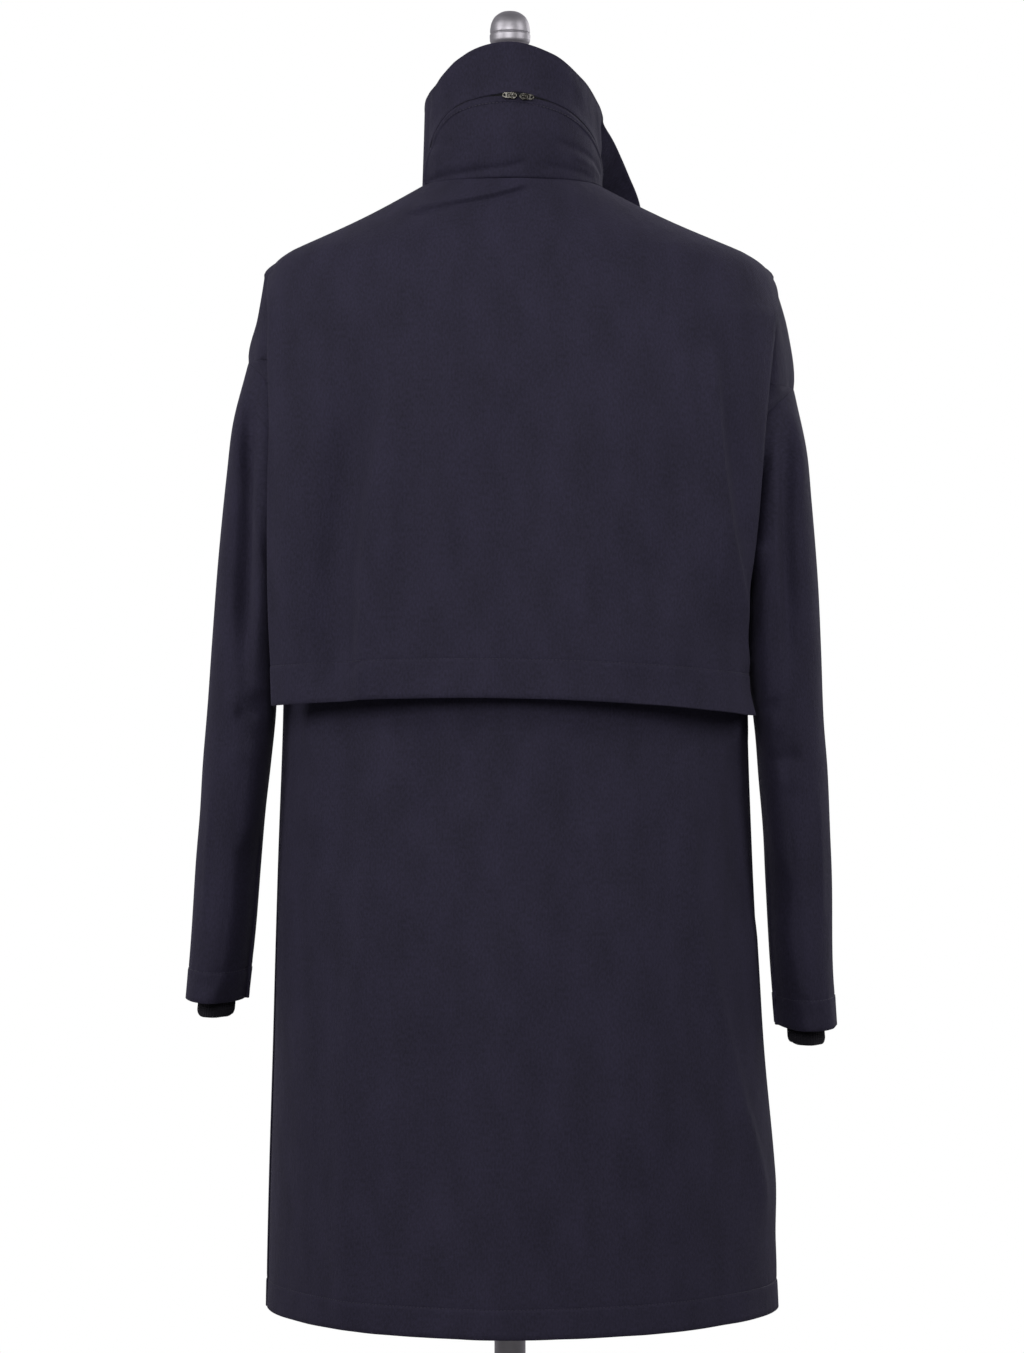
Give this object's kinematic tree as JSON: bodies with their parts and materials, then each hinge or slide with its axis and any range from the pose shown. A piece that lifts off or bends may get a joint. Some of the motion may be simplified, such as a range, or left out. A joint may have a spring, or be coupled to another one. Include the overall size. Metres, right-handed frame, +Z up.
{
  "type": "overcoat on a limbless dress form",
  "caption": "Long coat with a back storm cape, high funnel collar with an arched hood-pocket zip, knitted inner cuffs and drop shoulders, on a pole-stand dress form",
  "frame": {"origin": "middle of the underside of the stand's foot, on the floor, on the pole's axis", "axes": "+Z up; the coat's back faces -Y and its front +Y; +X is the wearer's right"},
  "size_m": [0.586, 0.38, 1.5715],
  "materials": {
    "shell": "matt plain-woven navy shell cloth",
    "rib": "black rib knit",
    "zip_tape": "black coil zip and tape",
    "zip_metal": "darkened polished metal",
    "form_cloth": "plain linen cover",
    "stand_metal": "polished steel",
    "stand_paint": "satin black powder coat"
  },
  "bodies": {
    "coat_on_form": {"back": "shell", "front_right": "shell", "front_left": "shell", "cape": "shell", "collar": "shell", "hood_pocket": "shell", "zip_tape": "zip_tape", "sleeve_left": "shell", "sleeve_right": "shell", "rib_cuff_left": "rib", "rib_cuff_right": "rib", "slider_left": "zip_metal", "slider_right": "zip_metal", "form_torso": "form_cloth", "neck_cap": "stand_metal", "knob": "stand_metal", "form_plate": "stand_paint", "pole": "stand_metal", "pole_socket": "stand_paint", "foot": "stand_paint"},
    "pull_left": {"pull_left": "zip_metal"},
    "pull_right": {"pull_right": "zip_metal"}
  },
  "joints": [
    {"name": "left_pull_swing", "type": "hinge", "parent": "coat_on_form", "child": "pull_left", "pos_m": [0.00221, -0.0981, 1.48113], "axis": [0.0299, -0.0421, 0.9987], "range_deg": [0, 110]},
    {"name": "right_pull_swing", "type": "hinge", "parent": "coat_on_form", "child": "pull_right", "pos_m": [0.0123, -0.09729, 1.48046], "axis": [-0.1122, 0.0289, -0.9933], "range_deg": [0, 110]}
  ]
}
